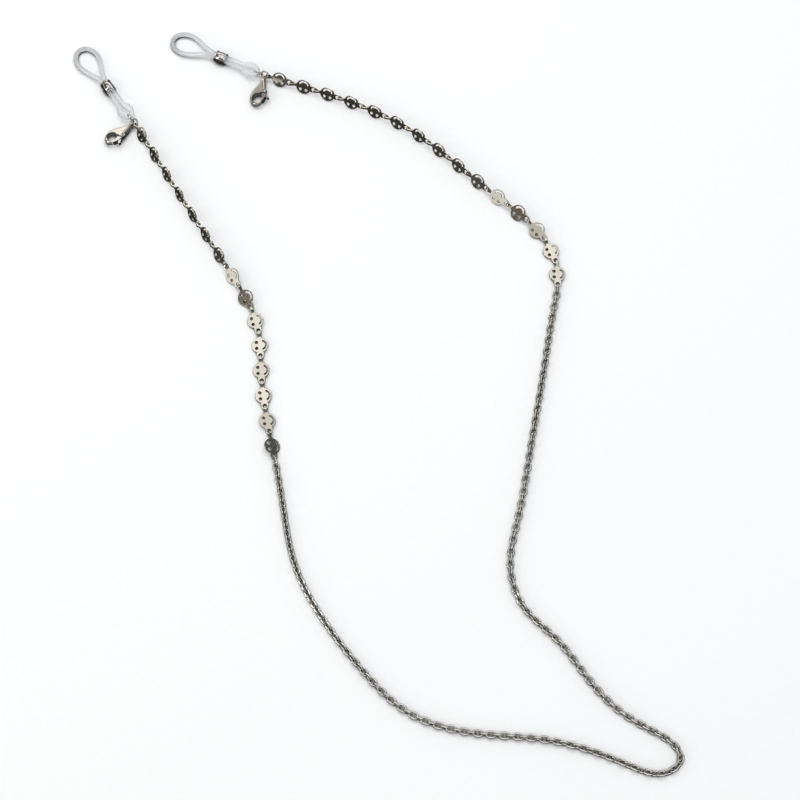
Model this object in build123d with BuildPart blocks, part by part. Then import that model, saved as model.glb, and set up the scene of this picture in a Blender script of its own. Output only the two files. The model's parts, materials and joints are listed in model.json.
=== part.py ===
from build123d import *

import os
from math import cos, hypot, pi, radians, sin, tan

# Eyeglass retainer strap: a steel cable chain with a run of pierced discs towards each end, and on each end a
# jump ring that carries a lobster clasp and a clear silicone temple loop. It lies on a level surface, Z = 0.
# All sizes are in millimetres.

# ---- pierced disc links ----
DISCS = 15
DISC_RADIUS = 2.75
SHEET = 0.4
EDGE_ROUND = 0.08
LUG_HOLE_RADIUS = 0.75
LUG_BAR = 0.42
LUG_RADIUS = LUG_HOLE_RADIUS + LUG_BAR
LUG_CENTRE = DISC_RADIUS + 1.0
LUG_ROOT_RADIUS = 1.3
LUG_ROOT_Y = 0.7 - DISC_RADIUS
BAR_CENTRE = LUG_CENTRE + LUG_HOLE_RADIUS + LUG_BAR / 2
CURL_INNER_RADIUS = 0.62
CURL_THICKNESS = 0.28
CURL_OUTER_RADIUS = CURL_INNER_RADIUS + CURL_THICKNESS
CURL_WIDTH = 0.75
CURL_CENTRE = DISC_RADIUS + 1.65
NECK_END = 0.1
NECK_END_Y = CURL_CENTRE - CURL_OUTER_RADIUS - NECK_END
DISC_PITCH = BAR_CENTRE + CURL_CENTRE
NECK_ROUND = 0.3
NOTCH_RADIUS = 0.16
NOTCH_X = 1.22
NOTCH_Y = -2.55
TEARDROP_START = DISC_RADIUS + 0.25
TEARDROP_INSIDE = DISC_RADIUS + 0.75
TEARDROP_TIP_RADIUS = 0.05
SLIT_Y = DISC_RADIUS + 0.72
SLIT_Z = 0.28
SLIT_WIDTH = 0.1
SLIT_LENGTH = 0.5
SLIT_ANGLE = -35
EYE_RADIUS = 0.56
EYE_X = -1.12
EYE_SPACING = 2.15
ARC_X = 0.5
ARC_RADIUS = 1.6
ARC_WIDTH = 0.62
ARC_HALF_ANGLE = 66

# ---- cable chain ----
WIRE = 0.6
LINK_WIDTH = 1.9
LINK_LENGTH = 2.8
LINK_PLAY = 0.1
LINK_PITCH = LINK_LENGTH - WIRE - LINK_PLAY
LINKS = 175
SEGMENTS = 12
CONNECTOR_PLAY = 0.08
CONNECTOR_REACH = LUG_BAR / 2 + WIRE / 2 + CONNECTOR_PLAY
CONNECTOR_PITCH = LINK_LENGTH - CONNECTOR_REACH - (WIRE + LINK_PLAY) / 2
ROLL_SWAY = 25
SWAY_WAVES = 2.5

# ---- jump ring and loop ring ----
JUMP_WIRE = 0.6
JUMP_RADIUS = 1.35
LOOP_RING_WIRE = 0.5
LOOP_RING_RADIUS = 1.6
RING_PLAY = 0.08

# ---- silicone temple loop and its slider ----
TUBE = 1.5
STRAND_OFFSET = 0.8
EYE_HALF_WIDTH = 1.9
EYE_WIDEST = 2.7
STRANDS_START = 6.5
STRANDS_END = 17.5
TEMPLE_WIDEST = 28.5
TEMPLE_HALF_WIDTH = 3.9
TEMPLE_LENGTH = 34.0
SLIDER_LENGTH = 4.2
SLIDER_RADIUS = 2.0
SLIDER_RIM = 0.6
SLIDER_GROOVE = 0.22
SLIDER_LIP = 0.15
SLIDER_CLEARANCE = 0.05
SLIDER_PLACE = 14.6

# ---- lobster clasp: points are (across, along) from the middle of the tail eye ----
CLASP_THICKNESS = 2.2
CLASP_ROUND = 0.75
TAIL_RADIUS = 1.1
TAIL_HOLE_RADIUS = 0.6
TAIL_WIDTH = 0.8
CLASP_CENTRE = 7.2
CLASP_OUTER_X = 2.8
CLASP_OUTER_Y = 4.0
SHOULDER_Y = 5.3
SHOULDER_RADIUS = 2.1
WRIST_Y = 1.2
WRIST_RADIUS = 0.75
EYE_CENTRE = 8.35
CLASP_EYE_RADIUS = 1.95
GAP_LOW = (0.5, 6.1)
GAP_LOW_FLARE = 0.7
GAP_HIGH = (1.0, 9.35)
GAP_HIGH_FLARE = 1.15
SLOT_X = 0.45
SLOT_Y = 3.3
SLOT_BEVEL = 0.7
SLOT_LENGTH = 3.7
SLOT_HALF = 0.6
PIN_X = 1.65
PIN_Y = 4.9
PIN_RADIUS = 0.35
PIN_LENGTH = 1.9
PIN_CLEARANCE = 0.03
LEVER_HALF = 0.52
LEVER_ROOT_RADIUS = 0.8
ARM_HALF = CLASP_THICKNESS / 2 - 0.2
ARM_ROOT_RADIUS = 0.6
ARM_ROOT = (2.0, 6.3)
ARM_BOTTOM_IN = (1.3, 6.55)
ARM_BOTTOM_OUT = (2.6, 6.2)
ARM_BULGE = (2.72, 8.0)
ARM_TOP_OUT = (2.2, 9.55)
ARM_TOP_IN = (1.45, 9.25)
TAB_ROOT = (2.25, 6.3)
TAB_ROOT_RADIUS = 0.45
TAB_TIP = (3.75, 7.7)
TAB_TIP_RADIUS = 0.38
SPRING_X = 0.54
SPRING_Y = 4.15
SPRING_LEAF = 0.16
SPRING_LEAN = 0.32
SPRING_LENGTH = 1.75
SPRING_HALF = 0.4

# ---- how the strap lies ----
# The middle line of discs and chain runs through these points, seen from above, from the left end round to the
# right end. The shift puts the middle of the whole strap's outline over the origin.
LAY_SHIFT_X = 16.73
LAY_SHIFT_Y = -13.738
LAY = [
    (-95.5, 108), (-84, 89), (-71, 68), (-57, 46), (-51, 34), (-49, 16), (-45, -9), (-41, -29),
    (-36, -52), (-29, -66), (-14, -86), (0, -99), (20, -105.5), (45, -108), (70, -116), (81, -117.8),
    (85.5, -113.3), (84.2, -110.1), (78, -105.5), (68, -99.5), (57, -88), (48, -76), (38, -66),
    (33.5, -53), (36.5, -35), (41, -12), (46, 15), (50.5, 40), (52, 54), (46, 67), (31, 80.5),
    (15, 95), (-3, 109), (-27, 120), (-50, 128),
]
# Degrees that each disc is turned about the middle line, from the temple loop down.
LEFT_ROLLS = [-58, -64, -68, -70, -70, -68, -58, -42, -24, -8, -4, -2, 2, 8, 26]
RIGHT_ROLLS = [-58, -64, -68, -70, -70, -70, -70, -68, -66, -60, -50, -40, -24, -8, 0]
# Degrees that the loops and clasps are turned from the strap's own direction, seen from above.
LEFT_LOOP_TURN = 4
LEFT_CLASP_TURN = 97
RIGHT_LOOP_TURN = -6
RIGHT_CLASP_TURN = 95
CLASP_ROLL = 194
END_DROP = 0.03
JUMP_ROLL_SHARE = 0.6
LOOP_RING_ROLL_SHARE = 0.3
LOOP_TILT = 1.1
FLOOR_GAP = 0.05


def chain_plane(origin, along, roll):
    """Plane with Y along the chain and X level, then turned about Y by roll degrees."""
    y_dir = Vector(*along).normalized()
    level = y_dir.cross(Vector(0, 0, 1)).normalized()
    x_dir = level.rotate(Axis((0, 0, 0), y_dir), roll)
    return Plane(origin=origin, x_dir=x_dir, z_dir=x_dir.cross(y_dir))


def turned(direction, angle):
    """The level direction turned about Z by angle degrees."""
    return Vector(direction.X, direction.Y, 0).normalized().rotate(Axis.Z, angle)


def save(part, label):
    """Name a finished piece and write it."""
    part.label = label
    export_step(part, f"parts/{label}.step")


os.makedirs("parts", exist_ok=True)

# ================================ blanks, each in its own frame ================================

# Stamped disc link: Y runs up the strap, the lug is at the lower end and the curled tongue at the upper end.
with BuildPart() as disc_blank:
    with BuildSketch() as disc_outline:
        with BuildSketch(mode=Mode.PRIVATE) as lug_outline:
            with Locations((0, -LUG_CENTRE)):
                Circle(LUG_RADIUS)
            with Locations((0, LUG_ROOT_Y)):
                Circle(LUG_ROOT_RADIUS)
            make_hull()
        with BuildSketch(mode=Mode.PRIVATE) as neck_outline:
            with Locations((0, DISC_RADIUS - NECK_ROUND)):
                Circle(CURL_WIDTH / 2 + NECK_ROUND)
            with Locations((0, NECK_END_Y)):
                Rectangle(CURL_WIDTH, NECK_END)
            make_hull()
        Circle(DISC_RADIUS)
        add(lug_outline.sketch)
        add(neck_outline.sketch)
        with Locations((0, -LUG_CENTRE)):
            Circle(LUG_HOLE_RADIUS, mode=Mode.SUBTRACT)
        with GridLocations(0, EYE_SPACING, 1, 2):
            with Locations((EYE_X, 0)):
                Circle(EYE_RADIUS, mode=Mode.SUBTRACT)
        with BuildLine(mode=Mode.PRIVATE) as arc_line:
            CenterArc((ARC_X, 0), ARC_RADIUS, -ARC_HALF_ANGLE, 2 * ARC_HALF_ANGLE)
        SlotArc(arc_line.edges()[0], ARC_WIDTH, mode=Mode.SUBTRACT)
        with Locations((-NOTCH_X, NOTCH_Y), (NOTCH_X, NOTCH_Y)):
            Circle(NOTCH_RADIUS, mode=Mode.SUBTRACT)
    extrude(amount=SHEET / 2, both=True)
    fillet(disc_blank.edges().group_by(Axis.Z)[-1] + disc_blank.edges().group_by(Axis.Z)[0], EDGE_ROUND)
    # The tongue is curled round into a teardrop eye, and a slit is left where its end meets the neck.
    with BuildSketch(Plane.YZ) as curl_outline:
        with BuildSketch(mode=Mode.PRIVATE) as curl_outside:
            with Locations((CURL_CENTRE, 0)):
                Circle(CURL_OUTER_RADIUS)
            with Locations((TEARDROP_START, 0)):
                Circle(SHEET / 2)
            make_hull()
        with BuildSketch(mode=Mode.PRIVATE) as curl_inside:
            with Locations((CURL_CENTRE, 0)):
                Circle(CURL_INNER_RADIUS)
            with Locations((TEARDROP_INSIDE, 0)):
                Circle(TEARDROP_TIP_RADIUS)
            make_hull()
        add(curl_outside.sketch)
        add(curl_inside.sketch, mode=Mode.SUBTRACT)
        with Locations(Location((SLIT_Y, SLIT_Z), SLIT_ANGLE)):
            Rectangle(SLIT_WIDTH, SLIT_LENGTH, mode=Mode.SUBTRACT)
    extrude(amount=CURL_WIDTH / 2, both=True)
    with BuildSketch(Plane.YZ) as curl_eye:
        add(curl_inside.sketch)
    extrude(amount=CURL_WIDTH, both=True, mode=Mode.SUBTRACT)

# Oval link of round wire, lengthwise along Y.
with BuildPart() as link_blank:
    with BuildLine() as link_line:
        half_width = LINK_WIDTH / 2
        straight = LINK_LENGTH / 2 - half_width
        side_wire = Line((half_width, -straight), (half_width, straight))
        CenterArc((0, straight), half_width, 0, 180)
        Line((-half_width, straight), (-half_width, -straight))
        CenterArc((0, -straight), half_width, 180, 180)
    with BuildSketch(Plane(side_wire @ 0, z_dir=side_wire % 0)) as link_wire:
        Circle(WIRE / 2)
    sweep()

with BuildPart() as jump_ring_blank:
    Torus(JUMP_RADIUS, JUMP_WIRE / 2)

with BuildPart() as loop_ring_blank:
    Torus(LOOP_RING_RADIUS, LOOP_RING_WIRE / 2)

# Silicone loop: a small eye at Y = 0, two parallel strands through the slider, then the long temple loop.
with BuildPart() as loop_blank:
    with BuildLine() as loop_line:
        Spline(
            (0, 0),
            (EYE_HALF_WIDTH, EYE_WIDEST),
            (STRAND_OFFSET, STRANDS_START),
            tangents=((1, 0), (0, 1), (0, 1)),
        )
        Line((STRAND_OFFSET, STRANDS_START), (STRAND_OFFSET, STRANDS_END))
        Spline(
            (STRAND_OFFSET, STRANDS_END),
            (TEMPLE_HALF_WIDTH, TEMPLE_WIDEST),
            (0, TEMPLE_LENGTH),
            tangents=((0, 1), (0, 1), (-1, 0)),
        )
        mirror(about=Plane.YZ)
    with BuildSketch(Plane(origin=(0, 0, 0), z_dir=(1, 0, 0))) as loop_tube:
        Circle(TUBE / 2)
    sweep()

# Slider bead: a turned barrel with a raised rim at each end, bored with one slot for both strands.
with BuildPart() as slider_blank:
    with BuildSketch(Plane.XY) as slider_profile:
        with BuildLine() as slider_line:
            half = SLIDER_LENGTH / 2
            rim = half - SLIDER_RIM
            waist = SLIDER_RADIUS - SLIDER_GROOVE
            lip = SLIDER_RADIUS - SLIDER_LIP
            Polyline(
                (0, -half),
                (lip, -half),
                (SLIDER_RADIUS, SLIDER_LIP - half),
                (SLIDER_RADIUS, -rim),
                (waist, -rim),
            )
            ThreePointArc((waist, -rim), (SLIDER_RADIUS, 0), (waist, rim))
            Polyline(
                (waist, rim),
                (SLIDER_RADIUS, rim),
                (SLIDER_RADIUS, half - SLIDER_LIP),
                (lip, half),
                (0, half),
            )
            Line((0, half), (0, -half))
        make_face()
    revolve(axis=Axis.Y)
    with BuildSketch(Plane.XZ) as slider_slot:
        SlotCenterToCenter(2 * STRAND_OFFSET, TUBE + 2 * SLIDER_CLEARANCE)
    extrude(amount=SLIDER_LENGTH, both=True, mode=Mode.SUBTRACT)

# Clasp body: Y runs from the tail eye to the nose. The right side is open, and the lever closes it.
with BuildPart() as clasp_blank:
    with BuildSketch() as clasp_outline:
        with Locations((0, CLASP_CENTRE)):
            Ellipse(CLASP_OUTER_X, CLASP_OUTER_Y)
        with BuildSketch(mode=Mode.PRIVATE) as clasp_neck:
            with Locations((0, SHOULDER_Y)):
                Circle(SHOULDER_RADIUS)
            with Locations((0, WRIST_Y)):
                Circle(WRIST_RADIUS)
            make_hull()
        add(clasp_neck.sketch)
    extrude(amount=CLASP_THICKNESS / 2, both=True)
    fillet(clasp_blank.edges().group_by(Axis.Z)[-1] + clasp_blank.edges().group_by(Axis.Z)[0], CLASP_ROUND)
    with BuildSketch(Plane.YZ) as tail_outline:
        Circle(TAIL_RADIUS)
    extrude(amount=TAIL_WIDTH / 2, both=True)
    with BuildSketch(Plane.YZ) as tail_hole:
        Circle(TAIL_HOLE_RADIUS)
    extrude(amount=CLASP_OUTER_X, both=True, mode=Mode.SUBTRACT)
    with BuildSketch() as clasp_opening:
        with Locations((0, EYE_CENTRE)):
            Circle(CLASP_EYE_RADIUS)
    extrude(amount=CLASP_THICKNESS, both=True, mode=Mode.SUBTRACT)
    # Gap on the right from the pin up to the nose.
    with BuildSketch() as clasp_gap:
        with BuildLine():
            outside = CLASP_OUTER_X + 1
            Polyline(
                GAP_LOW,
                (outside, GAP_LOW[1] - GAP_LOW_FLARE),
                (outside, GAP_HIGH[1] + GAP_HIGH_FLARE),
                GAP_HIGH,
                close=True,
            )
        make_face()
    extrude(amount=CLASP_THICKNESS, both=True, mode=Mode.SUBTRACT)
    # Slot that the root of the lever swings in.
    with BuildSketch() as clasp_slot:
        with BuildLine():
            Polyline(
                (SLOT_X, SLOT_Y + SLOT_BEVEL),
                (SLOT_X + SLOT_BEVEL, SLOT_Y),
                (outside, SLOT_Y),
                (outside, SLOT_Y + SLOT_LENGTH),
                (SLOT_X, SLOT_Y + SLOT_LENGTH),
                close=True,
            )
        make_face()
    extrude(amount=SLOT_HALF, both=True, mode=Mode.SUBTRACT)
    with Locations((PIN_X, PIN_Y)):
        Hole(PIN_RADIUS + PIN_CLEARANCE)

with BuildPart() as pin_blank:
    with Locations((PIN_X, PIN_Y)):
        Cylinder(PIN_RADIUS, PIN_LENGTH)

# Lever: closes the right side from the pin to the nose, with a thumb tab on its outer side.
with BuildPart() as lever_blank:
    with BuildSketch() as lever_root:
        with BuildSketch(mode=Mode.PRIVATE) as lever_root_hull:
            with Locations((PIN_X, PIN_Y)):
                Circle(LEVER_ROOT_RADIUS)
            with Locations(ARM_ROOT):
                Circle(ARM_ROOT_RADIUS)
            make_hull()
        add(lever_root_hull.sketch)
    extrude(amount=LEVER_HALF, both=True)
    with BuildSketch() as lever_arm:
        with BuildLine():
            Line(ARM_BOTTOM_IN, ARM_BOTTOM_OUT)
            ThreePointArc(ARM_BOTTOM_OUT, ARM_BULGE, ARM_TOP_OUT)
            Line(ARM_TOP_OUT, ARM_TOP_IN)
            Line(ARM_TOP_IN, ARM_BOTTOM_IN)
        make_face()
        with Locations((0, EYE_CENTRE)):
            Circle(CLASP_EYE_RADIUS, mode=Mode.SUBTRACT)
    extrude(amount=ARM_HALF, both=True)
    with BuildSketch() as lever_tab:
        with BuildSketch(mode=Mode.PRIVATE) as lever_tab_hull:
            with Locations(TAB_ROOT):
                Circle(TAB_ROOT_RADIUS)
            with Locations(TAB_TIP):
                Circle(TAB_TIP_RADIUS)
            make_hull()
        add(lever_tab_hull.sketch)
    extrude(amount=SLOT_HALF, both=True)
    with Locations((PIN_X, PIN_Y)):
        Hole(PIN_RADIUS + PIN_CLEARANCE)

# Leaf spring that pushes the lever shut, lying in the slot between the lever root and the body.
with BuildPart() as spring_blank:
    with BuildSketch() as spring_outline:
        with BuildLine():
            Polyline(
                (SPRING_X, SPRING_Y),
                (SPRING_X + SPRING_LEAF, SPRING_Y),
                (SPRING_X + SPRING_LEAN, SPRING_Y + SPRING_LENGTH),
                (SPRING_X + SPRING_LEAN - SPRING_LEAF, SPRING_Y + SPRING_LENGTH),
                close=True,
            )
        make_face()
    extrude(amount=SPRING_HALF, both=True)

# ================================ placing along the lay line ================================

with BuildLine() as lay:
    Spline([(x + LAY_SHIFT_X, y + LAY_SHIFT_Y) for x, y in LAY])
lay_edge = lay.edges()[0]
lay_length = lay_edge.length


def disc_height(roll):
    """Height of a disc's middle when its lowest edge touches the surface."""
    tilt = abs(sin(radians(roll)))
    return max(DISC_RADIUS * tilt + SHEET / 2, CURL_OUTER_RADIUS) + FLOOR_GAP


def link_height(roll):
    """Height of the chain's middle when the lower of two crossed links touches the surface."""
    tilt = max(abs(sin(radians(roll))), abs(cos(radians(roll))))
    return LINK_WIDTH / 2 * tilt + WIRE / 2 + FLOOR_GAP / 2


def bar_height(roll):
    """Height of the last disc's lug bar, in which the connector link stands on edge."""
    return max(disc_height(roll), link_height(90))


def step_on(place, height, distance):
    """The next place on the lay line, at a straight distance from this one. A place is (u, point)."""
    u, point = place
    level = (distance**2 - (height - point.Z) ** 2) ** 0.5
    reach = level
    for _ in range(6):
        there = lay_edge.position_at(u + reach / lay_length)
        reach += level - hypot(there.X - point.X, there.Y - point.Y)
    end_u = u + reach / lay_length
    there = lay_edge.position_at(end_u)
    return end_u, Vector(there.X, there.Y, height)


def chain_roll(i):
    """Roll of the chain's own frame at link i, without the quarter turn between links."""
    share = i / (LINKS + 1)
    between = LEFT_ROLLS[-1] + (RIGHT_ROLLS[-1] - LEFT_ROLLS[-1]) * share
    return between + ROLL_SWAY * sin(2 * pi * SWAY_WAVES * share)


start = lay_edge.position_at(0)
place = (0, Vector(start.X, start.Y, disc_height(LEFT_ROLLS[0])))
pivots = [place[1]]
for k in range(DISCS):
    below = disc_height(LEFT_ROLLS[k + 1]) if k + 1 < DISCS else bar_height(LEFT_ROLLS[k])
    height = max(disc_height(LEFT_ROLLS[k]), below)
    place = step_on(place, height, DISC_PITCH)
    pivots.append(place[1])
place = step_on(place, link_height(chain_roll(0)), CONNECTOR_PITCH)
pivots.append(place[1])
for i in range(1, LINKS + 1):
    place = step_on(place, link_height(chain_roll(i)), LINK_PITCH)
    pivots.append(place[1])
place = step_on(place, bar_height(RIGHT_ROLLS[-1]), CONNECTOR_PITCH)
pivots.append(place[1])
for k in range(DISCS - 1, -1, -1):
    upper = RIGHT_ROLLS[max(k - 1, 0)]
    height = max(disc_height(RIGHT_ROLLS[k]), disc_height(upper))
    place = step_on(place, height, DISC_PITCH)
    pivots.append(place[1])

LEFT_BAR = DISCS

# ================================ disc links ================================

left_disc_planes = []
right_disc_planes = []
for k in range(DISCS):
    top, bottom = pivots[k], pivots[k + 1]
    along = (top - bottom).normalized()
    left_disc_planes.append(chain_plane(bottom + along * BAR_CENTRE, along, LEFT_ROLLS[k]))
    top, bottom = pivots[-1 - k], pivots[-2 - k]
    along = (top - bottom).normalized()
    right_disc_planes.append(chain_plane(bottom + along * BAR_CENTRE, along, RIGHT_ROLLS[k]))

for side, planes in (("left", left_disc_planes), ("right", right_disc_planes)):
    for number, plane in enumerate(planes, 1):
        with BuildPart() as disc_link:
            with Locations(plane.location):
                add(disc_blank.part)
        save(disc_link.part, f"{side}_disc_{number:02d}")

# ================================ cable chain ================================

link_planes = []
for i in range(LINKS + 2):
    first, second = pivots[LEFT_BAR + i], pivots[LEFT_BAR + i + 1]
    along = (first - second).normalized()
    start_reach = CONNECTOR_REACH if i == 0 else (WIRE + LINK_PLAY) / 2
    middle = first + along * (start_reach - LINK_LENGTH / 2)
    link_planes.append(chain_plane(middle, along, chain_roll(i) + 90 * (i + 1)))

for side, plane in (("left", link_planes[0]), ("right", link_planes[-1])):
    with BuildPart() as connector:
        with Locations(plane.location):
            add(link_blank.part)
    save(connector.part, f"{side}_connector_link")

segment_ends = [round(LINKS * n / SEGMENTS) for n in range(SEGMENTS + 1)]
for n in range(SEGMENTS):
    with BuildPart() as chain_segment:
        for plane in link_planes[1 + segment_ends[n] : 1 + segment_ends[n + 1]]:
            with Locations(plane.location):
                add(link_blank.part)
    save(chain_segment.part, f"chain_{n + 1:02d}")

# ================================ the two ends ================================


def end_planes(pivot, along, roll, loop_turn, clasp_turn):
    """Planes of one end's jump ring, loop ring, silicone loop, slider and clasp."""
    out = turned(along, 0)
    ring_middle = pivot - Vector(0, 0, END_DROP) + out * JUMP_RADIUS
    jump = chain_plane(ring_middle, out, roll * JUMP_ROLL_SHARE)
    level_out = turned(out, loop_turn)
    loop_out = Vector(level_out.X, level_out.Y, -tan(radians(LOOP_TILT))).normalized()
    inner_wire = JUMP_RADIUS - (JUMP_WIRE + LOOP_RING_WIRE) / 2 - RING_PLAY
    loop_ring_middle = ring_middle + loop_out * (inner_wire + LOOP_RING_RADIUS)
    loop_ring = chain_plane(loop_ring_middle, loop_out, 90 + roll * LOOP_RING_ROLL_SHARE)
    tube_reach = LOOP_RING_RADIUS - (LOOP_RING_WIRE + TUBE) / 2 - RING_PLAY
    loop = chain_plane(loop_ring_middle + loop_out * tube_reach, loop_out, 0)
    slider = chain_plane(loop.origin + loop_out * SLIDER_PLACE, loop_out, 0)
    turn = radians(clasp_turn)
    wire = jump.origin + jump.y_dir * (JUMP_RADIUS * cos(turn)) - jump.x_dir * (JUMP_RADIUS * sin(turn))
    clasp = chain_plane(wire, turned(out, clasp_turn), CLASP_ROLL)
    return {"jump_ring": jump, "loop_ring": loop_ring, "temple_loop": loop, "slider": slider, "clasp": clasp}


ends = {
    "left": end_planes(
        pivots[0], pivots[0] - pivots[1], LEFT_ROLLS[0], LEFT_LOOP_TURN, LEFT_CLASP_TURN
    ),
    "right": end_planes(
        pivots[-1], pivots[-1] - pivots[-2], RIGHT_ROLLS[0], RIGHT_LOOP_TURN, RIGHT_CLASP_TURN
    ),
}

for side, planes in ends.items():
    with BuildPart() as jump_ring:
        with Locations(planes["jump_ring"].location):
            add(jump_ring_blank.part)
    save(jump_ring.part, f"{side}_jump_ring")

    with BuildPart() as loop_ring:
        with Locations(planes["loop_ring"].location):
            add(loop_ring_blank.part)
    save(loop_ring.part, f"{side}_loop_ring")

    with BuildPart() as temple_loop:
        with Locations(planes["temple_loop"].location):
            add(loop_blank.part)
    save(temple_loop.part, f"{side}_temple_loop")

    with BuildPart() as loop_slider:
        with Locations(planes["slider"].location):
            add(slider_blank.part)
    save(loop_slider.part, f"{side}_loop_slider")

    with BuildPart() as clasp_body:
        with Locations(planes["clasp"].location):
            add(clasp_blank.part)
    save(clasp_body.part, f"{side}_clasp_body")

    with BuildPart() as clasp_pin:
        with Locations(planes["clasp"].location):
            add(pin_blank.part)
    save(clasp_pin.part, f"{side}_clasp_pin")

    with BuildPart() as clasp_lever:
        with Locations(planes["clasp"].location):
            add(lever_blank.part)
    save(clasp_lever.part, f"{side}_clasp_lever")

    with BuildPart() as clasp_spring:
        with Locations(planes["clasp"].location):
            add(spring_blank.part)
    save(clasp_spring.part, f"{side}_clasp_spring")
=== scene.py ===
"""Looks for the eyeglass chain: polished steel, clear silicone temple loops, and a pale studio."""

import json
from math import cos, pi, radians, sin

import bpy
import numpy as np
from mathutils import Matrix, Vector


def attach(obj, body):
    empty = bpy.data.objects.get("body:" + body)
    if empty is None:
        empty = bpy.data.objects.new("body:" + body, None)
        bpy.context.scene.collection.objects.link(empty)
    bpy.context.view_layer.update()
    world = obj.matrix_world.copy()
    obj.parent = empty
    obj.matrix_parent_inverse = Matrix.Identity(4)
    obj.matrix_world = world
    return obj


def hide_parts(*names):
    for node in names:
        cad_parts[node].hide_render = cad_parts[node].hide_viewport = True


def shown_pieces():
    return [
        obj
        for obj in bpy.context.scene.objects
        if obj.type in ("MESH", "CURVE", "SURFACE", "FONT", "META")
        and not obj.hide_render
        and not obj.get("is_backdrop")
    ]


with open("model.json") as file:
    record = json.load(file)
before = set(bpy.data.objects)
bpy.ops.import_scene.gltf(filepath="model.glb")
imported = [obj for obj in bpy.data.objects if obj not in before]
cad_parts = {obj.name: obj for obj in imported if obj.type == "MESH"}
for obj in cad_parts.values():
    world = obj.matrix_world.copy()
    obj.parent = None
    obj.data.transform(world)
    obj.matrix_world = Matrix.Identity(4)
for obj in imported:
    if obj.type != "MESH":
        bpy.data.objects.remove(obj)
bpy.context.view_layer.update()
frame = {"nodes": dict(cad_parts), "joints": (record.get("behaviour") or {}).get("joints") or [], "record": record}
joints = {joint["name"]: joint for joint in frame["joints"]}
MM = 0.001
SIDES = ("left", "right")

# Silicone tube, in millimetres. Y runs from the small eye's end to the long loop's tip.
TUBE_RADIUS = 0.745
EYE_EXTRA_RADIUS = 0.20
EYE_MIDDLE_Y = 3.4
EYE_REACH = 2.9
TUBE_SIDES = 32
TUBE_STEPS = 22
SEAM = 0.03
SAG = 0.75
SAG_START_Y = 18.0
SAG_LENGTH = 16.0

# Steel's features per metre.
CLOUD_SCALE = 260
POLISH_SCALE = 1500
SCRATCH_SCALE = 900
SCRATCH_THINNESS = 9

# Studio, in metres.
FLOOR_HALF = 3.0
UNDERSHADE_REACH = 2.0 * MM
CEILING = 1.32
BACK_WALL = 1.50
FRONT_STRIP = 0.95
CAMERA_ELEVATION = radians(70)
CAMERA_DISTANCE = 0.60
CAMERA_TARGET = Vector((0.0145, -0.008, 0.0))
PICTURE_WIDTH = 0.268
SENSOR = 36

# ---------------------------------------------------------------- node helpers


def new_material(name):
    """An empty node material and its tree."""
    material = bpy.data.materials.new(name)
    material.use_nodes = True
    tree = material.node_tree
    tree.nodes.clear()
    return material, tree


def add(tree, kind, inputs=None, **settings):
    """A node with its settings, and its inputs set to values or joined to sockets."""
    node = tree.nodes.new(kind)
    for key, value in settings.items():
        setattr(node, key, value)
    for key, value in (inputs or {}).items():
        if isinstance(value, bpy.types.NodeSocket):
            tree.links.new(value, node.inputs[key])
        else:
            node.inputs[key].default_value = value
    return node


def remap(tree, value, low, high):
    """A value of 0 to 1 stretched to run from low to high."""
    node = add(tree, "ShaderNodeMapRange", {"Value": value, "To Min": low, "To Max": high})
    return node.outputs["Result"]


def mix_colour(tree, factor, a, b, blend="MIX"):
    """Two colours mixed by a factor."""
    node = add(tree, "ShaderNodeMix", data_type="RGBA", blend_type=blend)
    for index, value in ((0, factor), (6, a), (7, b)):
        if isinstance(value, bpy.types.NodeSocket):
            tree.links.new(value, node.inputs[index])
        else:
            node.inputs[index].default_value = value
    return node.outputs[2]


def noise(tree, coordinates, scale, detail=3.0, stretch=(1, 1, 1)):
    """Noise in the row frame, its scale in features per metre."""
    mapped = add(tree, "ShaderNodeMapping", {"Vector": coordinates, "Scale": stretch})
    texture = add(
        tree,
        "ShaderNodeTexNoise",
        {"Vector": mapped.outputs["Vector"], "Scale": scale, "Detail": detail, "Roughness": 0.6},
    )
    return texture.outputs["Fac"]


def mirrored(tree):
    """1 for rays that a polished face mirrors, 0 for the camera's rays and those through the silicone."""
    path = add(tree, "ShaderNodeLightPath")
    rays = {0: path.outputs["Is Glossy Ray"], 1: path.outputs["Is Transmission Ray"]}
    return add(tree, "ShaderNodeMath", rays, operation="SUBTRACT", use_clamp=True).outputs[0]


# ---------------------------------------------------------------- materials


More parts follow.
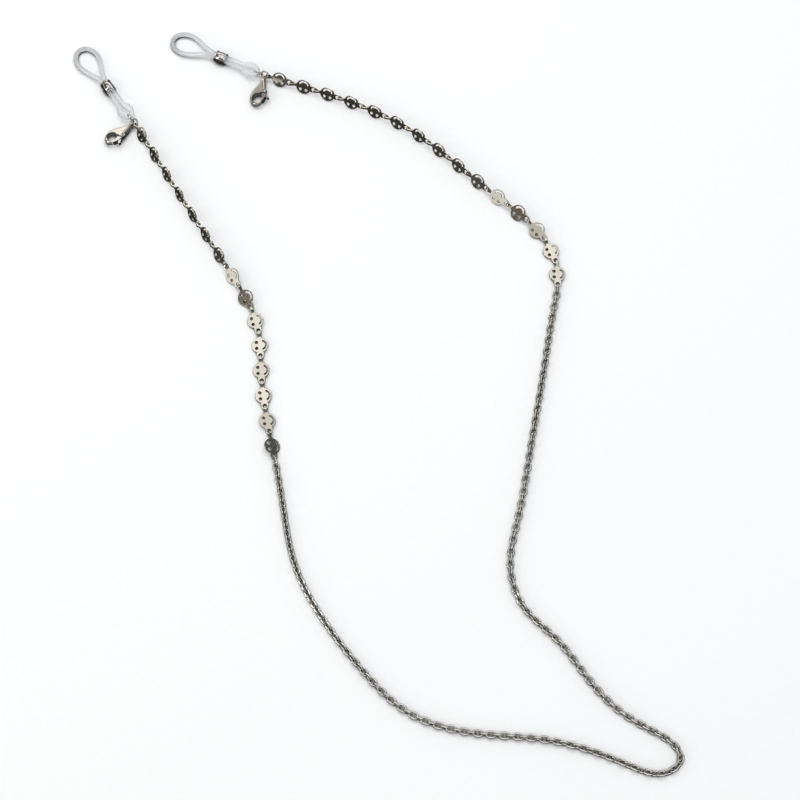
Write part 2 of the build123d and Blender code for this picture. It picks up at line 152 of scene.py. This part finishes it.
def steel(name, bright, dull, rough, scratch, shade_tarnish_depth, metal=1.0):
    """Polished steel: cloudy polish, fine scratches both ways, and painted shade with tarnish where pieces meet.
    """
    material, tree = new_material(name)
    place = add(tree, "ShaderNodeTexCoord").outputs["Object"]
    cloud = noise(tree, place, CLOUD_SCALE, 4)
    polish = noise(tree, place, POLISH_SCALE, 3)
    along_x = noise(tree, place, SCRATCH_SCALE, 2, (1, SCRATCH_THINNESS, SCRATCH_THINNESS))
    along_y = noise(tree, place, SCRATCH_SCALE, 2, (SCRATCH_THINNESS, 1, SCRATCH_THINNESS))
    tint = mix_colour(tree, remap(tree, cloud, -0.6, 1.6), (*dull, 1), (*bright, 1))
    # Painted shade: ambient occlusion darkens the colour where pieces meet, as shade and tarnish in the crevices.
    crevice = add(tree, "ShaderNodeAmbientOcclusion", {"Distance": 0.5 * MM}, samples=4)
    crevice_shade_and_tarnish = remap(tree, crevice.outputs["AO"], 1.0 - shade_tarnish_depth, 1.0)
    colour = mix_colour(tree, 1.0, tint, crevice_shade_and_tarnish, "MULTIPLY")
    roughness = remap(tree, polish, rough * 0.4, rough * 2.0)
    scratches = add(tree, "ShaderNodeMath", {0: along_x, 1: along_y}, operation="ADD").outputs[0]
    bump = add(
        tree, "ShaderNodeBump", {"Height": scratches, "Strength": scratch, "Distance": 0.01 * MM}
    )
    shader = add(
        tree,
        "ShaderNodeBsdfPrincipled",
        {
            "Base Color": colour,
            "Metallic": metal,
            "Roughness": roughness,
            "Normal": bump.outputs["Normal"],
        },
    )
    add(tree, "ShaderNodeOutputMaterial", {"Surface": shader.outputs[0]})
    return material


def silicone(name):
    """Clear silicone with a slight milk to it, a soft skin, and dust that clings to it."""
    material, tree = new_material(name)
    place = add(tree, "ShaderNodeTexCoord").outputs["Object"]
    haze = noise(tree, place, 420, 3)
    skin = noise(tree, place, 2600, 2)
    colour = mix_colour(tree, haze, (0.86, 0.88, 0.90, 1), (0.97, 0.975, 0.98, 1))
    bump = add(tree, "ShaderNodeBump", {"Height": skin, "Strength": 0.25, "Distance": 0.02 * MM})
    clear = add(
        tree,
        "ShaderNodeBsdfPrincipled",
        {
            "Base Color": colour,
            "Roughness": remap(tree, haze, 0.10, 0.30),
            "IOR": 1.41,
            "Transmission Weight": 0.62,
            "Subsurface Weight": 0.4,
            "Subsurface Radius": (1.2 * MM, 1.1 * MM, 1.0 * MM),
            "Coat Weight": 0.25,
            "Coat Roughness": 0.12,
            "Normal": bump.outputs["Normal"],
        },
    )
    add(tree, "ShaderNodeOutputMaterial", {"Surface": clear.outputs[0]})
    return material


def floor_paint():
    """Pale matt floor with painted shade, dark in the narrow shade right under the discs. For rays that the steel
    mirrors it is painted dark, a painted reflection.
    """
    material, tree = new_material("pale_floor")
    place = add(tree, "ShaderNodeTexCoord").outputs["Object"]
    grain = noise(tree, place, 500, 2)
    pale = mix_colour(tree, grain, (0.92, 0.92, 0.92, 1), (0.95, 0.95, 0.95, 1))
    # Painted shade: where ambient occlusion is low, under the discs and in their holes, the floor colour turns
    # dark brown.
    shade = add(tree, "ShaderNodeAmbientOcclusion", {"Distance": UNDERSHADE_REACH}, samples=6)
    open_sky = add(
        tree,
        "ShaderNodeMapRange",
        {"Value": shade.outputs["AO"], "From Min": 0.48, "From Max": 0.68},
        interpolation_type="SMOOTHSTEP",
    )
    shaded = mix_colour(tree, open_sky.outputs["Result"], (0.05, 0.038, 0.030, 1), pale)
    # Painted reflection: rays that the steel mirrors see the floor painted near-black, so the steel looks dark
    # where it mirrors the floor.
    shaded_or_mirrored_dark = mix_colour(tree, mirrored(tree), shaded, (0.022, 0.020, 0.018, 1))
    matt = {"Base Color": shaded_or_mirrored_dark, "Roughness": 0.7, "Specular IOR Level": 0.2}
    shader = add(tree, "ShaderNodeBsdfPrincipled", matt)
    add(tree, "ShaderNodeOutputMaterial", {"Surface": shader.outputs[0]})
    return material


# Each steel: name, bright and dull colour, roughness, scratches, painted shade and tarnish in the corners, and
# metal share.
DISC_STEEL = steel("disc_steel", (0.95, 0.93, 0.84), (0.82, 0.80, 0.71), 0.10, 0.22, 0.50)
CHAIN_STEEL = steel("chain_steel", (0.96, 0.96, 0.93), (0.78, 0.78, 0.76), 0.08, 0.20, 0.90, 0.95)
CLASP_STEEL = steel("clasp_steel", (0.95, 0.92, 0.86), (0.66, 0.62, 0.55), 0.10, 0.30, 0.50, 0.85)
FITTING_STEEL = steel("fitting_steel", (0.88, 0.88, 0.87), (0.72, 0.72, 0.72), 0.09, 0.18, 0.60)
SPRING_STEEL = steel("spring_steel", (0.62, 0.62, 0.63), (0.48, 0.48, 0.50), 0.25, 0.30, 0.50)
SILICONE = silicone("clear_silicone")

FINISHES = {
    "disc_steel": DISC_STEEL,
    "chain_steel": CHAIN_STEEL,
    "fitting_steel": FITTING_STEEL,
    "spring_steel": SPRING_STEEL,
    "silicone": SILICONE,
}

slot_of = {row["node"]: row["material_slot"] for row in frame["record"]["subparts"]}
for node_name, cad in frame["nodes"].items():
    finish = CLASP_STEEL if "clasp_body" in node_name else FINISHES[slot_of[node_name]]
    cad.data.materials.clear()
    cad.data.materials.append(finish)


# ---------------------------------------------------------------- silicone temple loops


def bezier(points, steps):
    """Points along a closed curve of cubic pieces. Each given point is (place, handle towards the next)."""
    places = []
    for (p0, h0), (p3, h3) in zip(points, points[1:] + points[:1]):
        p0, p3 = np.array(p0, float), np.array(p3, float)
        p1, p2 = p0 + np.array(h0), p3 - np.array(h3)
        for step in range(steps):
            t = step / steps
            places.append(
                (1 - t) ** 3 * p0 + 3 * t * (1 - t) ** 2 * p1 + 3 * t * t * (1 - t) * p2 + t**3 * p3
            )
    return places


def temple_loop_path():
    """Centreline of the silicone loop in its own plane, in millimetres."""
    right = [
        ((0, 0), (1.1, 0)),
        ((1.9, 2.7), (0, 1.3)),
        ((0.8, 6.5), (0, 1.2)),
        ((0.8, 17.5), (0, 3.6)),
        ((3.9, 28.5), (0, 3.1)),
        ((0, 34.0), (-2.3, 0)),
    ]
    left = [((-x, y), (hx, -hy)) for (x, y), (hx, hy) in right[-2:0:-1]]
    return bezier(right + left, TUBE_STEPS)


def tube_radius(y):
    """Radius of the silicone, in millimetres: fuller round the small eye."""
    fuller = max(0.0, 1.0 - abs(y - EYE_MIDDLE_Y) / EYE_REACH)
    return TUBE_RADIUS + EYE_EXTRA_RADIUS * fuller * fuller * (3 - 2 * fuller)


def tube_mesh(name):
    """The loop as a closed tube, with a fine moulding seam on its two in-plane sides and a sagging tip."""
    path = np.array(temple_loop_path())
    around = TUBE_SIDES
    ahead, behind = np.roll(path, -1, 0), np.roll(path, 1, 0)
    tangent = ahead - behind
    tangent /= np.linalg.norm(tangent, axis=1)[:, None]
    side = np.stack([tangent[:, 1], -tangent[:, 0]], 1)
    vertices, faces = [], []
    for (x, y), (sx, sy) in zip(path, side):
        sag = SAG * max(0.0, (y - SAG_START_Y) / SAG_LENGTH) ** 1.5
        for step in range(around):
            angle = 2 * pi * step / around
            ridge = SEAM * abs(cos(angle)) ** 60
            r = tube_radius(y) + ridge
            across, up = r * cos(angle), r * sin(angle)
            vertices.append(((x + sx * across) * MM, (y + sy * across) * MM, (up - sag) * MM))
    rows = len(path)
    for row in range(rows):
        for step in range(around):
            nxt, turn = (row + 1) % rows, (step + 1) % around
            faces.append(
                (row * around + step, nxt * around + step, nxt * around + turn, row * around + turn)
            )
    mesh = bpy.data.meshes.new(name)
    mesh.from_pydata(vertices, [], faces)
    mesh.polygons.foreach_set("use_smooth", [True] * len(faces))
    mesh.validate()
    mesh.update()
    return mesh


def joint_frame(position, x_axis, y_axis):
    """Matrix of a flat piece's own frame from its origin and two of its axes."""
    x, y = Vector(x_axis).normalized(), Vector(y_axis).normalized()
    z = x.cross(y).normalized()
    x = y.cross(z)
    return Matrix.Translation(Vector(position)) @ Matrix((x, y, z)).transposed().to_4x4()


for side in SIDES:
    swing = joints[f"{side}_temple_loop_swing"]
    out = Vector(joints[f"{side}_slider_slide"]["axis"])
    across = out.cross(Vector((0, 0, 1)))
    tube = tube_mesh(f"{side}_silicone_loop")
    tube.transform(joint_frame(swing["pos_m"], across, out))
    tube.materials.append(SILICONE)
    loop = bpy.data.objects.new(f"{side}_silicone_loop", tube)
    bpy.context.scene.collection.objects.link(loop)
    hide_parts(f"{side}_temple_loop")
    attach(loop, f"{side}_temple_loop")


# ---------------------------------------------------------------- studio


def under_the_strap():
    """Node group that lowers the floor to the strap's lowest point when a joint bends an end downwards."""
    strap = bpy.data.collections.new("strap")
    bpy.context.scene.collection.children.link(strap)
    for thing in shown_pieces():
        strap.objects.link(thing)
    tree = bpy.data.node_groups.new("under_the_strap", "GeometryNodeTree")
    tree.interface.new_socket("Geometry", in_out="INPUT", socket_type="NodeSocketGeometry")
    tree.interface.new_socket("Geometry", in_out="OUTPUT", socket_type="NodeSocketGeometry")
    flat = add(tree, "NodeGroupInput").outputs[0]
    laid = add(tree, "GeometryNodeCollectionInfo", {"Collection": strap}, transform_space="RELATIVE")
    solid = add(tree, "GeometryNodeRealizeInstances", {"Geometry": laid.outputs[0]}).outputs[0]
    box = add(tree, "GeometryNodeBoundBox", {"Geometry": solid})
    lowest = add(tree, "ShaderNodeSeparateXYZ", {"Vector": box.outputs["Min"]}).outputs["Z"]
    drop = add(tree, "ShaderNodeMath", {0: lowest, 1: 0.0}, operation="MINIMUM").outputs[0]
    shift = add(tree, "ShaderNodeCombineXYZ", {"Z": drop}).outputs[0]
    lowered = add(tree, "GeometryNodeTransform", {"Geometry": flat, "Translation": shift})
    add(tree, "NodeGroupOutput", {0: lowered.outputs[0]})
    return tree


def build_floor():
    mesh = bpy.data.meshes.new("floor")
    corners = [(x * FLOOR_HALF, y * FLOOR_HALF, 0) for x, y in ((-1, -1), (1, -1), (1, 1), (-1, 1))]
    mesh.from_pydata(corners, [], [(0, 1, 2, 3)])
    mesh.materials.append(floor_paint())
    floor = bpy.data.objects.new("floor", mesh)
    bpy.context.scene.collection.objects.link(floor)
    floor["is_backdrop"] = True
    floor.modifiers.new("under_the_strap", "NODES").node_group = under_the_strap()


def grey_ramp(tree, value, stops):
    """Warm grey of a brightness that follows (value, brightness) stops."""
    ramp = add(tree, "ShaderNodeValToRGB", {"Fac": value})
    elements = ramp.color_ramp.elements
    while len(elements) < len(stops):
        elements.new(1.0)
    for element, (position, level) in zip(elements, stops):
        element.position = position
        element.color = (level, level * 0.985, level * 0.955, 1)
    return ramp.outputs["Color"]


def build_world():
    """Even pale light, and for the steel to mirror a room with a bright ceiling and back wall."""
    world = bpy.data.worlds.new("studio")
    bpy.context.scene.world = world
    world.use_nodes = True
    tree = world.node_tree
    tree.nodes.clear()
    direction = add(tree, "ShaderNodeTexCoord").outputs["Generated"]
    axes = add(tree, "ShaderNodeSeparateXYZ", {"Vector": direction}).outputs
    top = [(0.82, 0.15), (0.89, CEILING)]
    strip = [(0.22, FRONT_STRIP), (0.32, FRONT_STRIP)]
    front = [(0.00, 0.02), (0.16, 0.04), *strip, (0.38, 0.06), (0.72, 0.07), *top]
    back = [(0.00, 0.04), (0.14, 0.05), (0.22, BACK_WALL), (0.64, BACK_WALL), (0.70, 0.07), *top]
    behind = add(
        tree,
        "ShaderNodeMapRange",
        {"Value": axes["Y"], "From Min": 0.54, "From Max": 0.60},
        interpolation_type="SMOOTHSTEP",
    )
    walls = mix_colour(
        tree, behind.outputs["Result"], grey_ramp(tree, axes["Z"], front), grey_ramp(tree, axes["Z"], back)
    )
    patches = add(tree, "ShaderNodeTexNoise", {"Vector": direction, "Scale": 3.2, "Detail": 1.0})
    room = mix_colour(tree, remap(tree, patches.outputs["Fac"], -0.5, 1.1), walls, (0.16, 0.11, 0.08, 1))
    colour = mix_colour(tree, mirrored(tree), (0.66, 0.67, 0.68, 1), room)
    background = add(tree, "ShaderNodeBackground", {"Color": colour, "Strength": 1.0})
    add(tree, "ShaderNodeOutputWorld", {"Surface": background.outputs[0]})


def area_light(name, place, target, size, power, colour=(1, 1, 1), mirrors=True):
    light = bpy.data.lights.new(name, "AREA")
    light.shape = "RECTANGLE"
    light.size, light.size_y = size
    light.energy = power
    light.color = colour
    lamp = bpy.data.objects.new(name, light)
    lamp.location = place
    lamp.rotation_mode = "QUATERNION"
    lamp.rotation_quaternion = (Vector(target) - Vector(place)).to_track_quat("-Z", "Y")
    lamp.visible_glossy = mirrors
    bpy.context.scene.collection.objects.link(lamp)


def build_camera():
    """The view from above and in front, at the elevation that gives the picture's foreshortening."""
    camera = bpy.data.objects.new("camera", bpy.data.cameras.new("camera"))
    back = Vector((0, -cos(CAMERA_ELEVATION), sin(CAMERA_ELEVATION)))
    camera.location = CAMERA_TARGET + back * CAMERA_DISTANCE
    camera.rotation_mode = "QUATERNION"
    camera.rotation_quaternion = (-back).to_track_quat("-Z", "Y")
    camera.data.sensor_width = SENSOR
    camera.data.lens = SENSOR * CAMERA_DISTANCE / PICTURE_WIDTH
    bpy.context.scene.collection.objects.link(camera)
    bpy.context.scene.camera = camera


build_floor()
build_world()
area_light("softbox", (0.0, 0.30, 0.95), (0.0, 0.02, 0.0), (0.80, 0.80), 4.2, mirrors=False)
area_light("side_strip", (-0.75, -0.25, 0.45), (0.0, 0.0, 0.0), (0.18, 0.70), 1.2, (1.0, 0.97, 0.93))
build_camera()
bpy.context.scene.view_settings.view_transform = "Standard"
